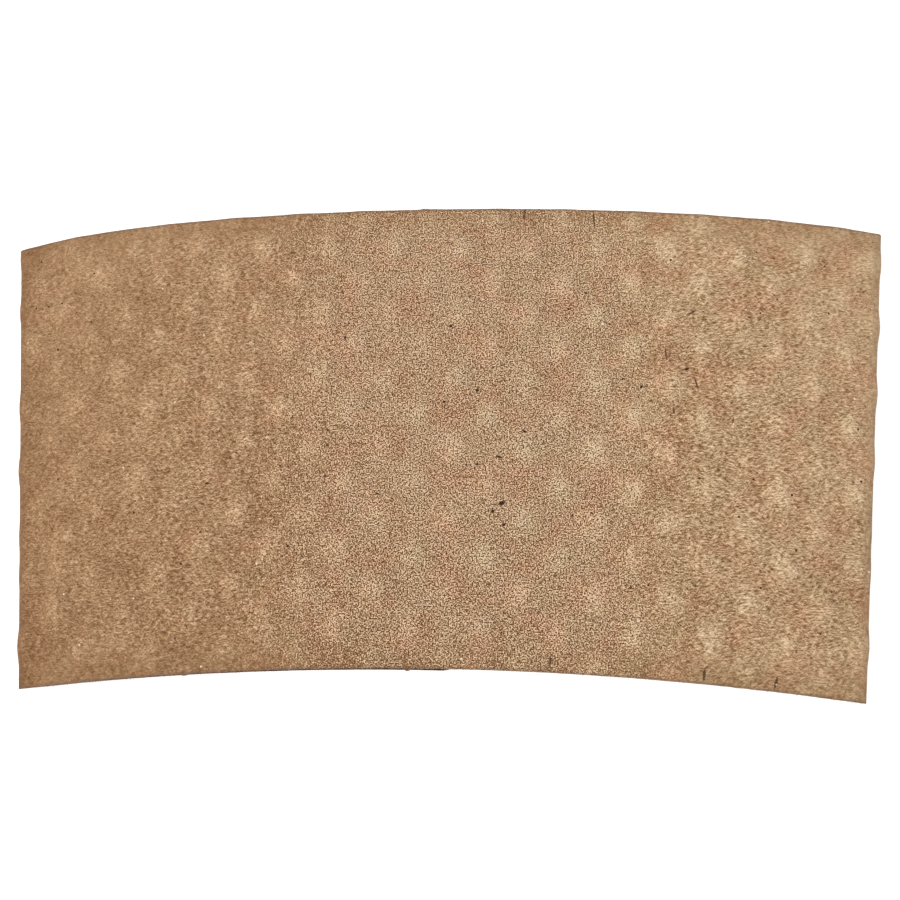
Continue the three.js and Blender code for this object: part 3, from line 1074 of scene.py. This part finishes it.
fibre_finish = fibre_material()
for name, *sort in FIBRE_SORTS:
    fibres = only(made_by(scattered_fibres(*sort), section_mesh(), name), fibre_finish)
    placed(name, fibres)
    print(name, "faces:", len(fibres.polygons))

# %% [markdown]
# ## Lumps on the rims
#
# Where the die was blunt it left small lumps of crushed fibre on the rims. Chance would put them in
# the wrong places, so eight balls are set one by one, each pressed flat, roughened and folded
# with the board.

# %% Nubs on the rims
NUB_FINENESS = 4
# Each nub: its place across and up the flat front in mm, its length along the rim and its width.
NUBS = [
    (-1.4, 32.32, 1.3, 0.5),
    (38.0, 30.6, 1.1, 0.5),
    (-31.6, -33.45, 0.9, 0.4),
    (-2.4, -32.4, 0.9, 0.46),
    (-46.0, 29.8, 0.5, 0.22),
    (20.5, 31.8, 0.6, 0.2),
    (51.5, 29.1, 0.7, 0.24),
    (28.0, -32.8, 0.6, 0.22),
]


def nub_tree():
    """Balls of crushed fibre, flattened, roughened and folded with the board."""
    tree, given = new_tree("nubs on the rims", {"Fineness": NUB_FINENESS})
    joined = tree.add("GeometryNodeJoinGeometry")
    size = {"Radius": 0.5 * MM, "Subdivisions": given.other("Fineness")}
    ball = tree.add("GeometryNodeMeshIcoSphere", {}, size)
    for x, y, length, width in NUBS:
        lie = {
            "Geometry": ball,
            "Translation": (x * MM, y * MM, 0),
            "Rotation": (0, 0, -math.atan2(x * MM, y * MM + mid_radius)),
            "Scale": (length, width, 0.7 * BOARD / MM),
        }
        lump = tree.add("GeometryNodeTransform", {}, lie)
        tree.tree.links.new(lump.socket, joined.socket.node.inputs[0])
    at = tree.add("GeometryNodeInputPosition")
    x, y, height = tree.parts(wandered(tree, at, 4000.0, 0.22 * MM, 3.0, 0.7))
    kept = stored(tree, joined, "web", tree.scaled(at, 1 / MM), "FLOAT_VECTOR")
    end_tree(tree, at_place(tree, kept, folded(tree, given, x, y, height)), kraft)
    return tree


nubs = only(made_by(nub_tree(), section_mesh(), "rim_nubs"), kraft)
placed("rim_nubs", nubs)
print("nubs:", len(NUBS))

# %% [markdown]
# ## Glue in the lap
#
# The flaps are held by a film of hot glue that was pressed thin. It shows only as an amber line
# deep in the slit between the flaps. The tree is the board's own in small: a patch of the fan,
# folded at the height of the joint, with a wandering border where the glue stopped flowing.

# %% The glue film
GLUE_COLUMNS, GLUE_ROWS = 40, 160
GLUE_MARGIN = 1.5 * MM


def glue_tree():
    """A patch of the fan in the lap, with a wandering border."""
    sizes = {"Columns": GLUE_COLUMNS, "Rows": GLUE_ROWS, "Margin": GLUE_MARGIN}
    tree, given = new_tree("glue film", sizes)
    counts = {"Vertices X": given.other("Columns"), "Vertices Y": given.other("Rows")}
    grid = tree.add("GeometryNodeMeshGrid", {}, {"Size X": 2.0, "Size Y": 2.0, **counts})
    across, along, _ = tree.parts(tree.add("GeometryNodeInputPosition"))
    flow = noise(tree, tree.vector(across * 3.0, along * 16.0), 1.0, 3.0) - 0.5
    reach = (LAP / 2 - given.other("Margin")) + flow * 0.9 * MM
    angle = across * reach / mid_radius + (left_end + lap / 2)
    radius = along * ((SLANT_HEIGHT / 2 - given.other("Margin")) + flow * 0.7 * MM) + mid_radius
    x, y = flat_place(angle, radius)
    place = folded(tree, given, x, y, (BOARD + GLUE_FILM) * -0.5)
    end_tree(tree, at_place(tree, grid, place), glue_finish)
    return tree


def glue_material():
    """Hot glue: amber, a little cloudy and smoother than the board."""
    material, tree = new_material("glue_film")
    place = tree.add("ShaderNodeTexCoord").other("Object")
    bubbles = noise(tree, place, 2500.0, 2.0)
    tones = [(0.3, screen(150, 112, 62)), (0.7, screen(214, 176, 118))]
    colour = toned(tree, tones, bubbles)
    bump = bumped(tree, bubbles, 0.3, 0.02 * MM)
    finish(tree, colour, bubbles.ramp(0.3, 0.7, 0.25, 0.45), bump, 0.5)
    return material


glue_finish = glue_material()
glue = only(made_by(glue_tree(), section_mesh(), "glue_film", GLUE_FILM), glue_finish)
placed("glue_film", glue)
print("faces of the glue:", len(glue.polygons))

# %% [markdown]
# ## The camera
#
# The sleeve is looked down on from close by, a little from its small rim, so the near rim looks
# wider. The camera's place and direction come from a fit of the fan's outline to what is seen. They
# could be set by eye, but then no edge would fall in its place.

# %% The camera
FRAME_WIDTH_PX = 900
FOCAL_LENGTH_PX = 847
CAMERA_PLACE = Vector((10.6, -28.35, 115.85)) * MM
CAMERA_LOOK = Vector((-0.069, 0.2314, -0.9704))
CAMERA_UP = Vector((-0.0134, 1, 0))


def facing(look, up):
    """Turn of a camera or lamp that looks one way, with another way up."""
    across = look.cross(up).normalized()
    axes = (across, across.cross(look).normalized(), -look.normalized())
    return Matrix(axes).transposed().to_4x4()


def add_camera():
    """The camera that the scene is looked at through."""
    data = bpy.data.cameras.new("camera")
    data.sensor_width = 36
    data.lens = FOCAL_LENGTH_PX / FRAME_WIDTH_PX * data.sensor_width
    data.clip_start = 5 * MM
    camera = bpy.data.objects.new("camera", data)
    bpy.context.collection.objects.link(camera)
    camera.matrix_world = Matrix.Translation(CAMERA_PLACE) @ facing(CAMERA_LOOK, CAMERA_UP)
    bpy.context.scene.camera = camera
    return camera


camera = add_camera()
print("camera, mm:", [round(part / MM, 1) for part in camera.location])

# %% [markdown]
# ## Light and floor
#
# The light comes from all round, as in a tent of white cloth, with one soft lamp on the left that
# gives the dimples their shade. The floor is white and glows a little of its own, so it stays
# white close to the sleeve, where the board takes light away.

# %% Light and floor
SKY_STRENGTH = 1.12
FLOOR_REACH = 3.0
FLOOR_GAP = 0.02 * MM
FLOOR_WHITE = 0.98
FLOOR_GLOW = 0.22


def add_light(name, place, size, energy):
    """A round soft lamp that points at the sleeve."""
    data = bpy.data.lights.new(name, "AREA")
    data.shape, data.size, data.energy = "DISK", size, energy
    light = bpy.data.objects.new(name, data)
    bpy.context.collection.objects.link(light)
    light.matrix_world = Matrix.Translation(place) @ facing(-Vector(place), Vector((0, 1, 0)))
    return light


def add_floor():
    """A white floor just under the sleeve."""
    mesh = bpy.data.meshes.new("floor")
    corners = [(-1, -1), (1, -1), (1, 1), (-1, 1)]
    places = [(x * FLOOR_REACH, y * FLOOR_REACH, 0) for x, y in corners]
    mesh.from_pydata(places, [], [(0, 1, 2, 3)])
    floor = bpy.data.objects.new("floor", mesh)
    bpy.context.collection.objects.link(floor)
    material, tree = new_material("floor")
    shader = finish(tree, (FLOOR_WHITE, FLOOR_WHITE, FLOOR_WHITE, 1), 0.9, (0, 0, 0), 0.1)
    shader.inputs["Emission Color"].default_value = (1, 1, 1, 1)
    shader.inputs["Emission Strength"].default_value = FLOOR_GLOW
    mesh.materials.append(material)
    floor.location.z = low.z - FLOOR_GAP
    return floor


def add_sky(strength):
    """White light from all round."""
    world = bpy.data.worlds.new("soft light")
    bpy.context.scene.world = world
    world.use_nodes = True
    sockets = world.node_tree.nodes["Background"].inputs
    sockets["Color"].default_value = (1, 1, 1, 1)
    sockets["Strength"].default_value = strength


add_floor()
add_sky(SKY_STRENGTH)
key = add_light("key", place=(-0.9, -0.15, 0.55), size=0.6, energy=6.6)
bpy.context.scene.view_settings.view_transform = "Standard"
print("lamp, m:", [round(part, 2) for part in key.location])
